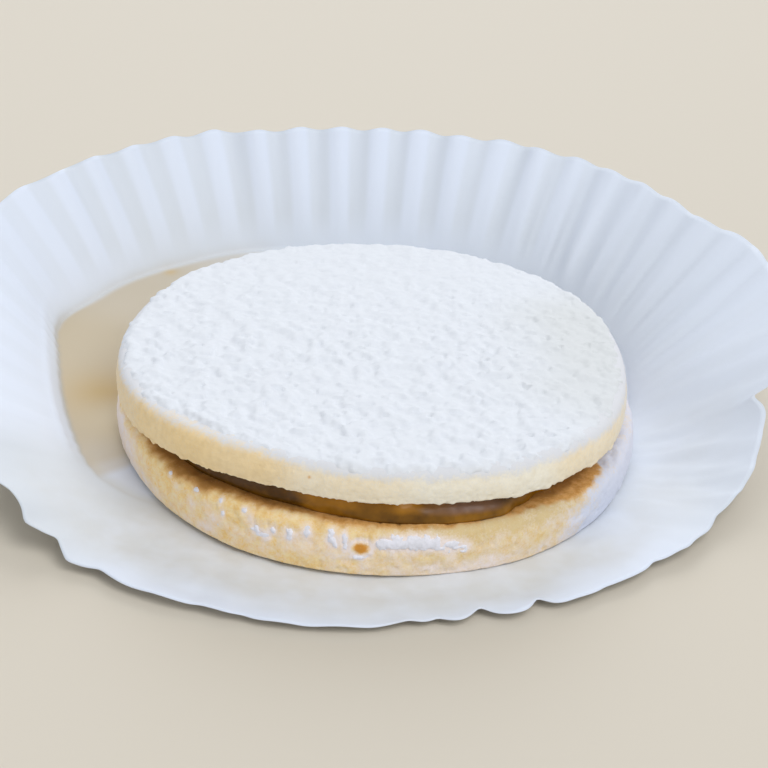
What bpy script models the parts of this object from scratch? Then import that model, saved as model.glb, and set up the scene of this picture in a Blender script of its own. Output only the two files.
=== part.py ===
"""An alfajor: two round shortbread biscuits with dulce de leche between them, in a fluted paper case.

Metres, +Z up. The origin is the centre of the paper case's flat base, on the table. +Y points to
the side where the case still stands up; the cookie has slid forward and right, to -Y and +X, and
lies on the part of the case's wall that it has pressed flat.
"""
import math

import bmesh
import bpy

MM = 0.001

# ---- the cookie as a whole
COOKIE_CENTRE = (2.4 * MM, -12.6 * MM)
UNDERSIDE = 0.65 * MM               # height of the cookie's underside over the table
COOKIE_SIDES = 72                   # facets around each biscuit
LOWER_EDGE = 0.5 * MM               # rounding of a biscuit's lower edge, cut sharp in the dough

# ---- bottom biscuit: flat underside, top face a little high at the front left
BOTTOM_RADIUS = 30.3 * MM
BOTTOM_THICKNESS = 4.8 * MM         # at its middle
BOTTOM_TOP_SLOPE = (-0.022, -0.040)  # rise of its top face for each metre along X and Y
BOTTOM_UPPER_EDGE = 1.5 * MM
BOTTOM_WAVES = [(2, 0.25 * MM, -0.4), (3, 0.55 * MM, -2.3), (4, 0.40 * MM, 2.7)]

# ---- top biscuit: even thickness, riding up at the front on the filling
TOP_RADIUS = 30.1 * MM
TOP_THICKNESS = 4.2 * MM
TOP_OFFSET = (-0.7 * MM, 0.6 * MM)  # its centre from the bottom biscuit's
TOP_UNDERSIDE = 7.8 * MM            # height of its lower face over the table, at its middle
TOP_SLOPE = (0.0, -0.060)
TOP_UPPER_EDGE = 1.3 * MM
TOP_WAVES = [(2, 0.32 * MM, -2.9), (3, 0.33 * MM, 2.4), (4, 0.39 * MM, -2.9)]

# ---- filling: a wedge of dulce de leche, thick at the front right
FILLING_RADIUS = 28.3 * MM
FILLING_CLEARANCE = 0.22 * MM       # to the biscuit above and the one below
FILLING_EDGE = 0.45 * MM            # how far its swollen side stands out past its faces
FILLING_SIDES = 60
FILLING_WAVES = [(1, 0.5 * MM, 0.8), (3, 0.25 * MM, 1.3), (7, 0.22 * MM, 0.2), (11, 0.12 * MM, 2.6)]

# ---- paper case
PAPER = 0.3 * MM                    # thickness of the paper as a solid
FLUTES = 50
FLUTE_SIDES = 4                     # facets across one flute
FLUTE_START = 90.0                  # direction of one flute's crest, in degrees
WALL_RINGS = 4                      # strips up the wall
# The wall by direction around the base, in degrees from +X towards +Y, sizes in millimetres:
# CREASE is the base's radius, RIM and HEIGHT are where the wall's edge is, DEPTH is the flutes'
# depth at the edge. CURL is the power that the wall's height climbs by: under 1 it is steep at
# its foot and flares out, over 1 it lies flat and turns up only near its edge.
CREASE = [(0, 32.2), (25, 33.6), (60, 35.8), (95, 35.0), (125, 36.8), (150, 38.2), (163, 39.2),
          (185, 36.4), (225, 36.8), (270, 36.5), (310, 34.0), (340, 32.0)]
RIM = [(5, 51.0), (18, 50.4), (31, 47.1), (40, 46.8), (52, 46.3), (62, 44.9), (78, 42.2), (92, 41.3),
       (108, 41.9), (121, 44.6), (131, 45.7), (145, 47.0), (157, 48.9), (180, 50.0), (222, 53.0),
       (255, 53.9), (285, 52.6), (320, 51.0), (345, 49.8)]
HEIGHT = [(0, 12.0), (20, 13.0), (45, 13.2), (90, 14.3), (140, 13.7), (180, 12.3), (205, 10.3),
          (222, 5.8), (237, 1.4), (270, 1.1), (305, 1.2), (325, 2.0), (338, 5.3), (348, 9.3)]
CURL = [(0, 0.8), (90, 0.8), (180, 0.78), (215, 1.0), (240, 3.0), (300, 3.0), (325, 2.4), (342, 1.5)]
DEPTH = [(0, 0.35), (45, 0.55), (90, 0.75), (140, 0.65), (180, 0.45), (215, 0.3), (240, 0.08),
         (305, 0.08), (335, 0.25)]


def around(compass, degrees):
    """Smooth value at a direction, between the nearest two of a list of (direction, value)."""
    degrees %= 360.0
    count = len(compass)
    for index in range(count):
        start, low = compass[index]
        end, high = compass[(index + 1) % count]
        span = (end - start) % 360.0
        step = (degrees - start) % 360.0
        if step < span:
            blend = 0.5 - 0.5 * math.cos(math.pi * step / span)
            return low + (high - low) * blend
    return compass[0][1]


def uneven(angle, waves):
    """Sum of slow waves round an outline: each wave is (count, size, phase)."""
    return sum(size * math.cos(count * angle + phase) for count, size, phase in waves)


def material(name, colour, roughness):
    """A plain Principled material in the sub-part's own colour."""
    mat = bpy.data.materials.new(name)
    mat.use_nodes = True
    shader = mat.node_tree.nodes["Principled BSDF"]
    shader.inputs["Base Color"].default_value = (*colour, 1.0)
    shader.inputs["Roughness"].default_value = roughness
    shader.inputs["Metallic"].default_value = 0.0
    return mat


def closed_loft(name, rings, low_pole, high_pole, mat):
    """Closed body through rings of points, counter-clockwise from above and in order from the
    middle of its underside to the middle of its top, with a fan at each end."""
    mesh = bmesh.new()
    loops = [[mesh.verts.new(point) for point in ring] for ring in rings]
    low = mesh.verts.new(low_pole)
    high = mesh.verts.new(high_pole)
    count = len(loops[0])
    for step in range(count):
        after = (step + 1) % count
        mesh.faces.new((low, loops[0][after], loops[0][step]))
        mesh.faces.new((high, loops[-1][step], loops[-1][after]))
        for lower, upper in zip(loops, loops[1:]):
            mesh.faces.new((lower[step], lower[after], upper[after], upper[step]))
    data = bpy.data.meshes.new(name)
    mesh.to_mesh(data)
    mesh.free()
    data.shade_smooth()
    data.set_sharp_from_angle(angle=math.radians(35.0))
    body = bpy.data.objects.new(name, data)
    body.data.materials.append(mat)
    bpy.context.scene.collection.objects.link(body)
    return body


def side_profile(lower_edge, upper_edge):
    """Side of a biscuit as (inset from its radius, share of its thickness, rise past that share):
    a small lower rounding, a faintly bulging side and a larger upper rounding."""
    turns = [math.radians(turn) for turn in (0.0, 45.0, 90.0)]
    insets = [1.0 - math.sin(turn) for turn in turns]
    rises = [1.0 - math.cos(turn) for turn in turns]
    lower = [(lower_edge * inset, 0.0, lower_edge * rise) for inset, rise in zip(insets, rises)]
    upper = [(upper_edge * inset, 1.0, -upper_edge * rise) for inset, rise in zip(insets, rises)]
    return lower + [(-0.15 * MM, 0.5, 0.0)] + upper[::-1]


def biscuit(name, centre, radius, waves, upper_edge, lower_face, upper_face, mat):
    """Round biscuit between two faces, each a function that gives the height at (x, y)."""
    rings = []
    for inset, share, rise in side_profile(LOWER_EDGE, upper_edge):
        ring = []
        for step in range(COOKIE_SIDES):
            angle = 2.0 * math.pi * step / COOKIE_SIDES
            reach = radius - inset + uneven(angle, waves)
            x = centre[0] + reach * math.cos(angle)
            y = centre[1] + reach * math.sin(angle)
            low = lower_face(x, y)
            high = upper_face(x, y)
            ring.append((x, y, low + (high - low) * share + rise))
        rings.append(ring)
    low_pole = (*centre, lower_face(*centre))
    high_pole = (*centre, upper_face(*centre))
    return closed_loft(name, rings, low_pole, high_pole, mat)


def bottom_top_face(x, y):
    """Height of the bottom biscuit's top face."""
    return (UNDERSIDE + BOTTOM_THICKNESS + BOTTOM_TOP_SLOPE[0] * (x - COOKIE_CENTRE[0])
            + BOTTOM_TOP_SLOPE[1] * (y - COOKIE_CENTRE[1]))


def top_underside(x, y):
    """Height of the top biscuit's lower face."""
    return (TOP_UNDERSIDE + TOP_SLOPE[0] * (x - COOKIE_CENTRE[0])
            + TOP_SLOPE[1] * (y - COOKIE_CENTRE[1]))


def make_bottom_biscuit():
    """Lower shortbread disc, flat on the paper."""
    mat = material("bottom_shortbread", (0.80, 0.60, 0.34), 0.85)
    biscuit("bottom_biscuit", COOKIE_CENTRE, BOTTOM_RADIUS, BOTTOM_WAVES, BOTTOM_UPPER_EDGE,
            lambda x, y: UNDERSIDE, bottom_top_face, mat)


def make_top_biscuit():
    """Upper shortbread disc, tilted by the wedge of filling under it."""
    centre = (COOKIE_CENTRE[0] + TOP_OFFSET[0], COOKIE_CENTRE[1] + TOP_OFFSET[1])
    mat = material("sugared_shortbread", (0.90, 0.87, 0.82), 0.9)
    biscuit("top_biscuit", centre, TOP_RADIUS, TOP_WAVES, TOP_UPPER_EDGE,
            top_underside, lambda x, y: top_underside(x, y) + TOP_THICKNESS, mat)


def make_filling():
    """Wedge of dulce de leche, with a rounded edge that swells out where it is thickest."""
    rings = []
    for inset, share in ((FILLING_EDGE, 0.0), (0.0, 0.5), (FILLING_EDGE, 1.0)):
        ring = []
        for step in range(FILLING_SIDES):
            angle = 2.0 * math.pi * step / FILLING_SIDES
            reach = FILLING_RADIUS - inset + uneven(angle, FILLING_WAVES)
            x = COOKIE_CENTRE[0] + 0.5 * TOP_OFFSET[0] + reach * math.cos(angle)
            y = COOKIE_CENTRE[1] + reach * math.sin(angle)
            low = bottom_top_face(x, y) + FILLING_CLEARANCE
            high = top_underside(x, y) - FILLING_CLEARANCE
            ring.append((x, y, low + (high - low) * share))
        rings.append(ring)
    mat = material("dulce_de_leche", (0.30, 0.14, 0.03), 0.25)
    low_pole = (*COOKIE_CENTRE, bottom_top_face(*COOKIE_CENTRE) + FILLING_CLEARANCE)
    high_pole = (*COOKIE_CENTRE, top_underside(*COOKIE_CENTRE) - FILLING_CLEARANCE)
    closed_loft("filling", rings, low_pole, high_pole, mat)


def wall_point(degrees, climb, outer):
    """A point of the case's wall, climb of the way from the crease to the edge: a slope that
    curls up, folded into flutes square to the slope. outer is 1 on the paper's outside."""
    crease = around(CREASE, degrees) * MM
    run = around(RIM, degrees) * MM - crease
    rise = around(HEIGHT, degrees) * MM
    slant = math.hypot(run, rise)
    fold = around(DEPTH, degrees) * MM * climb ** 0.8
    fold *= math.cos(math.radians(FLUTES * (degrees - FLUTE_START)))
    lift = fold - PAPER * outer
    radius = crease + run * climb - lift * rise / slant
    height = PAPER + rise * climb ** around(CURL, degrees) + lift * run / slant
    if outer and climb == 0.0:
        height = 0.0
    angle = math.radians(degrees)
    return (radius * math.cos(angle), radius * math.sin(angle), max(height, 0.0))


def make_paper_case():
    """Round paper case: a flat base and a fluted wall, upright behind and flattened in front."""
    count = FLUTES * FLUTE_SIDES
    turns = [360.0 * step / count for step in range(count)]
    climbs = [step / WALL_RINGS for step in range(WALL_RINGS + 1)]
    outside = [[wall_point(turn, climb, 1) for turn in turns] for climb in climbs]
    inside = [[wall_point(turn, climb, 0) for turn in turns] for climb in reversed(climbs)]
    mat = material("white_paper", (0.86, 0.87, 0.90), 0.7)
    closed_loft("paper_case", outside + inside, (0.0, 0.0, 0.0), (0.0, 0.0, PAPER), mat)


for old in list(bpy.data.objects):
    bpy.data.objects.remove(old, do_unlink=True)

make_paper_case()
make_bottom_biscuit()
make_filling()
make_top_biscuit()
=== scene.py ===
import math

import bpy
import numpy as np
from mathutils import Matrix


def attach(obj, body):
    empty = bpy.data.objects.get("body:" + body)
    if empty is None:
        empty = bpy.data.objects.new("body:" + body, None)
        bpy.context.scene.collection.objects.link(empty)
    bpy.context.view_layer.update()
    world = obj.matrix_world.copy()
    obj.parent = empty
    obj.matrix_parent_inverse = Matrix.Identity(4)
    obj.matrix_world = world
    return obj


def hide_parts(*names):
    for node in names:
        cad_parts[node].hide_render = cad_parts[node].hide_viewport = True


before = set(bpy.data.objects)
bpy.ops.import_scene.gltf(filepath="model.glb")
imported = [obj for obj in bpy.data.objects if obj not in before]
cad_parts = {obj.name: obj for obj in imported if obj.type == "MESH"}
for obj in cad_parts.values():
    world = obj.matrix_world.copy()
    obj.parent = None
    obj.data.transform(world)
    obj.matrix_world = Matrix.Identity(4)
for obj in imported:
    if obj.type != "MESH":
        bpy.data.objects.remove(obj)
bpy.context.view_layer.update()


# =============================================================================================
# Paper case. A disc of thin bleached paper that a mould has pleated into a flat base and a
# fluted wall. Behind the cookie the wall still stands; in front the cookie lies on it, so there
# it is pressed flat and its pleats have opened. Butter has soaked into the base and darkened it.
# =============================================================================================

MM = 0.001
PAPER_THICKNESS = 0.1 * MM
PAPER_LIFT = 0.06 * MM              # the base's underside over the table
FLUTES = 50
FLUTE_START = 90.0                  # direction of one flute's crest, in degrees
FLUTE_SIDES = 16                    # points across one flute
BASE_RINGS = 34                     # on the inner face; close together near the crease
WALL_RINGS = 32

# The wall by direction around the base, in degrees from +X towards +Y, sizes in millimetres:
# the base's radius, the radius and height of the wall's edge, the power its height climbs by,
# the depth of its flutes at the edge, and the height of the arches the flutes' ends are cut to.
CREASE = [(0, 32.2), (25, 33.6), (60, 35.8), (95, 35.0), (125, 36.8), (150, 38.2), (163, 39.2),
          (166, 38.9), (169, 38.3), (172, 37.6), (175, 37.0), (178, 36.6), (182, 36.2), (187, 35.95),
          (193, 35.85), (199, 36.0), (204, 36.3), (208, 36.7), (212, 37.2), (216, 37.7), (220, 38.0),
          (225, 37.8), (235, 37.1), (270, 36.5), (310, 34.0), (340, 32.0)]
RIM = [(5, 51.0), (18, 50.4), (31, 47.1), (40, 46.8), (52, 46.3), (62, 44.9), (78, 42.2), (92, 41.3),
       (108, 41.9), (121, 44.6), (131, 45.7), (145, 47.0), (157, 48.9), (180, 50.0), (222, 53.0),
       (255, 53.6), (285, 52.6), (320, 51.0), (345, 49.8)]
HEIGHT = [(0, 11.9), (8, 12.6), (20, 13.0), (45, 13.2), (90, 14.3), (140, 13.7), (180, 12.3), (205, 10.3),
          (222, 5.8), (237, 1.2), (270, 0.7), (305, 0.9), (325, 1.8), (330, 2.8), (335, 4.2), (340, 5.9),
          (345, 7.7), (350, 9.4), (355, 10.8)]
CURL = [(0, 0.8), (90, 0.8), (180, 0.78), (215, 1.0), (240, 3.0), (300, 3.0), (325, 2.4), (342, 1.5)]
DEPTH = [(0, 0.10), (25, 0.10), (45, 0.11), (57, 0.18), (68, 0.31), (120, 0.40), (140, 0.38), (155, 0.22),
         (172, 0.12), (200, 0.10), (240, 0.05), (305, 0.05), (335, 0.10)]
ARCH = [(0, 0.05), (45, 0.16), (90, 0.25), (120, 0.24), (150, 0.08), (180, 0.05)]

# How far the flutes turn round the case between crease and edge, in degrees.
TWIST = [(0, 9.0), (35, 4.0), (70, 0.0), (180, 0.0), (300, 0.0), (330, 7.0)]

# How strongly butter has browned the base, by direction.
SOAK = [(0, 0.0), (105, 0.0), (120, 0.55), (134, 0.85), (150, 0.9), (165, 1.0), (190, 1.0), (204, 1.0),
        (214, 0.85), (218, 0.6), (221, 0.12), (234, 0.05), (245, 0.0), (300, 0.0)]

# Where the edge is cut shorter or, if negative, stands out because a pleat has opened or the
# paper is folded: direction, how far in millimetres, and half the width in degrees.
NICKS = [(224, 0.4, 2.2), (228.5, -0.9, 1.2), (232, 0.9, 1.4), (235, -0.5, 1.1), (239, 0.7, 2.0),
         (253, 0.4, 2.5), (258, 0.4, 1.5), (269, -0.15, 4.0), (277.5, 0.9, 2.2), (281, 1.0, 1.5),
         (286.5, 2.0, 1.8), (294, 1.7, 1.5), (303, 0.3, 1.6), (311.5, 0.6, 1.5), (317, -0.4, 1.5),
         (325, 0.7, 2.2), (334, -0.4, 1.8), (341, 0.3, 1.8), (346.0, 2.4, 2.0)]

# How much the wall has been pressed flat and thin, by direction.
PRESSED = [(0, 0.1), (15, 0.0), (200, 0.0), (215, 0.15), (225, 0.4), (238, 0.9), (250, 1.0), (300, 1.0),
           (322, 0.5), (338, 0.3)]

# How much painted shade greys the wall: all over, at its foot and in its grooves, by direction,
# and how far up its foot's painted shade reaches as a share of its width.
WALL_SHADE = [(0, 0.1), (30, 0.3), (60, 0.2), (85, 0.05), (115, 0.1), (135, 0.3), (150, 0.1), (205, 0.1),
             (218, 1.0), (229, 1.0), (243, 0.1), (250, 0.0), (310, 0.0), (325, 0.6), (345, 0.3)]
FOOT_SHADE = [(0, 0.5), (60, 0.6), (110, 0.8), (150, 0.8), (190, 0.9), (215, 0.4), (230, 0.0), (300, 0.0)]
GROOVE_SHADE = [(0, 0.1), (45, 0.1), (60, 0.4), (90, 0.6), (145, 0.6), (165, 0.2), (200, 0.1), (225, 0.0),
               (330, 0.0)]
FOOT_REACH = [(0, 0.35), (60, 0.35), (120, 0.22), (145, 0.08), (200, 0.06), (300, 0.3)]

# Smaller forms of the wall. Depths in compasses are in millimetres.
STREAKS = [(0, 0.19), (45, 0.17), (75, 0.05), (300, 0.04), (335, 0.18)]
RIDGE = [(158, 0.0), (172, 1.0), (205, 1.0), (218, 0.0)]
RIDGE_RUN = 1.5 * MM                # from the crease to the fold beside it at the left
RIDGE_WIDTH = 0.5 * MM
RIDGE_RISE = 0.3 * MM
HEAP = [(272, 0.0), (286, 1.0), (304, 1.0), (320, 0.0)]
HEAP_AT = 42.5 * MM                 # where the paper bulges up against the cookie's front edge
HEAP_WIDTH = 2.8 * MM
HEAP_RISE = 0.27 * MM
STANDING = 6.0 * MM                 # height of the edge above which the wall stands
LYING = 1.2 * MM                    # and below which it lies flat
WRINKLE_LIFT = 0.12 * MM            # how far wrinkles raise the flat wall, and how much they vary
WRINKLE_RISE = 0.15 * MM
NICK_POWER = 1.6                    # makes a nick more pointed than a bell curve
ARCH_TURN = 0.9                     # how far round its flute an arch's top lies, as an angle
CIRCLE = 45.0 * MM                  # a mid radius, to measure lengths round the wall
LEAST_HEIGHT = 0.01 * MM            # so that nothing dips into the table


def around(compass, degrees):
    """Value at each direction: half a cosine wave between the two nearest pairs of a list of
    (direction, value), which goes once round the circle."""
    turns, values = np.array(compass, dtype=float).T
    turns = np.append(turns, turns[0] + 360.0)
    values = np.append(values, values[0])
    degrees = (degrees - turns[0]) % 360.0 + turns[0]
    index = np.clip(np.searchsorted(turns, degrees, side="right") - 1, 0, len(turns) - 2)
    step = (degrees - turns[index]) / (turns[index + 1] - turns[index])
    blend = 0.5 - 0.5 * np.cos(np.pi * step)
    return values[index] + (values[index + 1] - values[index]) * blend


def cloud(points, size, seed):
    """Soft random value from -1 to 1 at each point: a random number at each corner of a lattice
    with cells of that size, which repeats after 64 cells, blended by a smooth step along each
    axis. size is one length, or three for cells longer one way than another."""
    corners = np.random.default_rng(seed).uniform(-1.0, 1.0, (64, 64, 64))
    place = points.reshape(-1, 3) / np.asarray(size)
    cell = np.floor(place)
    part = place - cell
    part = part * part * (3.0 - 2.0 * part)
    low = cell.astype(int) % 64
    high = (low + 1) % 64
    total = np.zeros(len(place))
    for corner in range(8):
        weight = np.ones(len(place))
        index = []
        for axis in range(3):
            far = (corner >> axis) & 1
            weight = weight * (part[:, axis] if far else 1.0 - part[:, axis])
            index.append((high if far else low)[:, axis])
        total += weight * corners[tuple(index)]
    return total.reshape(points.shape[:-1])


def smooth_step(value, start, end):
    """0 before start, 1 after end and a smooth rise between; start may be the larger."""
    part = np.clip((value - start) / (end - start), 0.0, 1.0)
    return part * part * (3.0 - 2.0 * part)


def bell(away, width):
    """Bell curve: 1 where away is 0, and 1 over e where it is the width."""
    return np.exp(-(away / width) ** 2)


def points_at(x, y, z):
    """Points from three arrays or numbers, stretched to one shape."""
    return np.stack(np.broadcast_arrays(x, y, z), axis=-1)


def distance_of(points, centre=(0.0, 0.0)):
    """Level distance of each point from a centre."""
    return np.hypot(points[..., 0] - centre[0], points[..., 1] - centre[1])


def compass_of(points, centre=(0.0, 0.0)):
    """Direction of each point from a centre, in degrees from +X towards +Y."""
    return np.degrees(np.arctan2(points[..., 1] - centre[1], points[..., 0] - centre[0])) % 360.0


def turn_from(start, degrees):
    """How far round each direction is from start, between -180 and 180 degrees."""
    return (degrees - start + 180.0) % 360.0 - 180.0


def facing(points):
    """Unit normal at each point of a grid of rings: across the ring, times along the ring."""
    along = np.roll(points, -1, axis=1) - np.roll(points, 1, axis=1)
    across = np.gradient(points, axis=0)
    normal = np.cross(along, across)
    return normal / np.maximum(np.linalg.norm(normal, axis=2, keepdims=True), 1e-12)


def new_body(name, corners, faces, marks):
    """Smoothly shaded object with these corners and faces. marks are named values for each
    corner, kept as attributes for the material."""
    mesh = bpy.data.meshes.new(name)
    mesh.from_pydata(corners, [], faces)
    for mark, values in marks.items():
        layer = mesh.attributes.new(mark, "FLOAT", "POINT")
        layer.data.foreach_set("value", values.astype(np.float32))
    mesh.shade_smooth()
    body = bpy.data.objects.new(name, mesh)
    bpy.context.scene.collection.objects.link(body)
    return body


def ring_body(name, rings, marks):
    """Closed body through rings of points, each counter-clockwise from above and in order from
    the middle of its underside, out, up and back in to the middle of its top. A fan closes each
    end. marks are named values for each point; a fan's middle gets the mean of its ring's."""
    rows, columns = rings.shape[:2]
    number = np.arange(rows * columns).reshape(rows, columns)
    after = np.roll(number, -1, axis=1)
    quads = np.stack([number[:-1], after[:-1], after[1:], number[1:]], axis=-1).reshape(-1, 4)
    low = np.full(columns, rows * columns)
    low_fan = np.stack([low, after[0], number[0]], axis=-1)
    high_fan = np.stack([low + 1, number[-1], after[-1]], axis=-1)
    corners = np.concatenate([rings.reshape(-1, 3), [rings[0].mean(axis=0), rings[-1].mean(axis=0)]])
    marks = {mark: np.append(values, [values[0].mean(), values[-1].mean()])
             for mark, values in marks.items()}
    return new_body(name, corners, quads.tolist() + low_fan.tolist() + high_fan.tolist(), marks)


def on_circle(turned, along=0.0):
    """Places round the case's mid radius, at which random values are looked up. along is a
    distance out from the middle, stretched or squeezed."""
    return points_at(CIRCLE * np.cos(turned), CIRCLE * np.sin(turned), along)


def flute_wave(turned):
    """How far round its flute each point is, as an angle; 0 on the crest. The flutes' widths
    vary a little."""
    return FLUTES * (turned - math.radians(FLUTE_START)) + 0.5 * cloud(on_circle(turned), 16.0 * MM, 15)


def wall_sheet(degrees, climb, side):
    """Points of the wall, climb of the way from the crease to the edge. The height climbs by a
    power of climb; the flutes are cosine waves square to the slope, deeper towards the edge, of
    uneven depth, and their crests are cut as low arches. Wrinkles run round the pressed-down
    front, streaks up the rest. side is 0.5 on the paper's inner face and -0.5 on its outer one."""
    crease = around(CREASE, degrees) * MM
    run = around(RIM, degrees) * MM - crease
    rise = around(HEIGHT, degrees) * MM
    slant = np.hypot(run, rise)
    for turn, deep, wide in NICKS:
        away = np.abs(turn_from(turn, degrees))
        run = run - deep * MM * np.exp(-(away / wide) ** NICK_POWER) * climb ** 2
    out = crease + run * climb
    turned = np.radians(degrees - around(TWIST, degrees) * climb)
    wave = flute_wave(turned)
    depth = around(DEPTH, degrees) * MM * (1.0 + 0.4 * cloud(on_circle(turned), 7.0 * MM, 14))
    squeezed = on_circle(turned, out * 3.0)
    wrinkle = cloud(squeezed, 8.0 * MM, 11) + 0.5 * cloud(squeezed, 3.5 * MM, 12)
    stretched = on_circle(turned, out / 8.0)
    streak = cloud(stretched, 2.6 * MM, 16) + 0.9 * cloud(stretched, 1.2 * MM, 17)
    streak = streak * around(STREAKS, degrees) * MM * smooth_step(climb, 0.0, 0.2)
    lift = depth * climb ** 0.8 * np.cos(wave) + streak + PAPER_THICKNESS * (side - 0.5)
    radius = out - lift * rise / slant
    height = PAPER_LIFT + PAPER_THICKNESS + rise * climb ** around(CURL, degrees) + lift * run / slant
    height = height + around(ARCH, degrees) * MM * climb ** 5 * np.cos(wave + ARCH_TURN)
    height = height + RIDGE_RISE * bell(run * climb - RIDGE_RUN, RIDGE_WIDTH) * around(RIDGE, degrees)
    height = height + HEAP_RISE * bell(radius - HEAP_AT, HEAP_WIDTH) * around(HEAP, degrees)
    flat = smooth_step(rise, STANDING, LYING) * smooth_step(climb, 0.0, 0.35)
    height = height + (WRINKLE_LIFT + WRINKLE_RISE * wrinkle) * flat
    angle = np.radians(degrees)
    return points_at(radius * np.cos(angle), radius * np.sin(angle), height)


def base_sheet(degrees, share, side):
    """Points of the flat base, share of the way from its middle to the crease."""
    radius = around(CREASE, degrees) * MM * share
    angle = np.radians(degrees)
    height = PAPER_LIFT + PAPER_THICKNESS * (side + 0.5)
    return points_at(radius * np.cos(angle), radius * np.sin(angle), height)


def make_case():
    """Rings of the outer face from the base's middle to the edge, then of the inner face back.
    Their steps shorten towards the crease, by a square on the base and a power on the wall."""
    turns = 360.0 * np.arange(FLUTES * FLUTE_SIDES) / (FLUTES * FLUTE_SIDES)
    outer_shares = np.array([0.1, 0.3, 0.5, 0.7, 0.9, 0.99])
    inner_shares = 1.0 - (1.0 - np.linspace(0.02, 0.998, BASE_RINGS)) ** 2
    climbs = np.linspace(0.0, 1.0, WALL_RINGS) ** 1.25
    rings = np.concatenate([base_sheet(*np.meshgrid(turns, outer_shares), -0.5),
                            wall_sheet(*np.meshgrid(turns, climbs), -0.5),
                            wall_sheet(*np.meshgrid(turns, climbs[::-1]), 0.5),
                            base_sheet(*np.meshgrid(turns, inner_shares[::-1]), 0.5)])
    rings[..., 2] = np.maximum(rings[..., 2], LEAST_HEIGHT)
    return rings


BROWN_SPOT = np.array([-30.0, -5.5]) * MM
BROWN_SPOT_WIDTH = 5.0 * MM
BROWN_FLECK = np.array([-25.2, 26.2]) * MM
BROWN_FLECK_WIDTH = 0.9 * MM
LINE_WIDTH = 0.3 * MM


def case_marks(rings):
    """Where butter has soaked and browned the base, with painted light beside the cookie; where
    the wall is greyed by lying flat, and painted shade all over, at its foot and in its grooves; and
    a painted shade line along its left crease."""
    direction = compass_of(rings)
    distance = distance_of(rings)
    edge = around(CREASE, direction) * MM
    outer = (distance - edge) / (around(RIM, direction) * MM - edge)
    climb = np.clip(outer, 0.0, 1.0)

    blur = around([(100, 1.2), (150, 1.0), (162, 0.5), (172, 0.15), (225, 0.15)], direction) * MM
    soaked = smooth_step(distance, edge + 0.5 * blur, edge - blur) * around(SOAK, direction)
    browned = 0.8 * bell(distance_of(rings, BROWN_SPOT), BROWN_SPOT_WIDTH)
    browned = browned + bell(distance_of(rings, BROWN_FLECK), BROWN_FLECK_WIDTH)
    # Painted light: a paler tan on the soaked base beside the cookie, where the cookie's shadow falls.
    painted_light = around([(188, 0.0), (203, 1.0), (222, 1.0), (240, 0.0)], direction)
    painted_light = painted_light * smooth_step(distance, 36.5 * MM, 31.0 * MM)

    band = around([(0, 0.9), (222, 0.7), (250, 0.75), (275, 0.85), (320, 0.75)], direction)
    greyed = around(PRESSED, direction) * smooth_step(outer, -0.15, 0.05)
    greyed = greyed * smooth_step(outer + 0.08 * cloud(rings, 5.0 * MM, 18), band + 0.25, band - 0.2)

    # Painted shade: grey at the wall's foot, in its grooves and over parts of the wall, by direction.
    foot = np.exp(-climb / around(FOOT_REACH, direction)) * around(FOOT_SHADE, direction)
    wave = flute_wave(np.radians(direction - around(TWIST, direction) * climb))
    groove_shade = smooth_step(np.cos(wave + 0.5), 0.5, -0.5) * around(GROOVE_SHADE, direction)
    shaded = foot + groove_shade * smooth_step(climb, 0.0, 0.3) + around(WALL_SHADE, direction)
    # The painted shade also covers the base behind the cookie, as at the wall's foot.
    behind = around([(35, 0.0), (60, 1.0), (140, 1.0), (152, 0.0)], direction)
    shaded = shaded * np.maximum(smooth_step(outer, -0.12, 0.0), behind)

    # A thin painted shade line along the left crease.
    crease_shade = around([(155, 0.0), (168, 0.7), (205, 0.7), (222, 0.2), (240, 0.0)], direction)
    crease_shade = crease_shade * bell(distance - edge, LINE_WIDTH)
    return {"soaked": soaked, "browned": np.clip(browned, 0.0, 1.0), "painted_light": painted_light,
            "greyed": np.clip(greyed, 0.0, 1.0), "shaded": np.clip(shaded, 0.0, 1.0),
            "crease_shade": crease_shade}


def new_group(name, inputs, outputs):
    """A shader node group with sockets (name, kind, value) in and (name, kind) out, where kind
    is Float, Color or Vector, and its first and last nodes."""
    tree = bpy.data.node_groups.new(name, "ShaderNodeTree")
    for label, kind, value in inputs:
        socket = tree.interface.new_socket(label, in_out="INPUT", socket_type="NodeSocket" + kind)
        socket.default_value = value
    for label, kind in outputs:
        tree.interface.new_socket(label, in_out="OUTPUT", socket_type="NodeSocket" + kind)
    return tree, tree.nodes.new("NodeGroupInput"), tree.nodes.new("NodeGroupOutput")


def use_group(tree, group, **values):
    """Node of a group in a material's tree, with numbers, colours or outputs on its inputs;
    an underscore in a keyword stands for a space."""
    node = tree.nodes.new("ShaderNodeGroup")
    node.node_tree = group
    for label, value in values.items():
        socket = node.inputs[label.replace("_", " ")]
        if isinstance(value, bpy.types.NodeSocket):
            tree.links.new(value, socket)
        elif isinstance(value, tuple):
            socket.default_value = (*value, 1.0)
        else:
            socket.default_value = value
    return node


def soft_spots_group():
    """Soft random spots, 0 to 1: a noise texture in object space. Size is that of one spot."""
    tree, start, end = new_group("soft_spots", [("Size", "Float", MM), ("Detail", "Float", 3.0),
                                                ("Roughness", "Float", 0.55)], [("Value", "Float")])
    place = tree.nodes.new("ShaderNodeTexCoord")
    divide = tree.nodes.new("ShaderNodeMath")
    divide.operation = "DIVIDE"
    divide.inputs[0].default_value = 1.0
    noise = tree.nodes.new("ShaderNodeTexNoise")
    tree.links.new(start.outputs["Size"], divide.inputs[1])
    tree.links.new(place.outputs["Object"], noise.inputs["Vector"])
    tree.links.new(divide.outputs["Value"], noise.inputs["Scale"])
    tree.links.new(start.outputs["Detail"], noise.inputs["Detail"])
    tree.links.new(start.outputs["Roughness"], noise.inputs["Roughness"])
    tree.links.new(noise.outputs["Fac"], end.inputs["Value"])
    return tree


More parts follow.
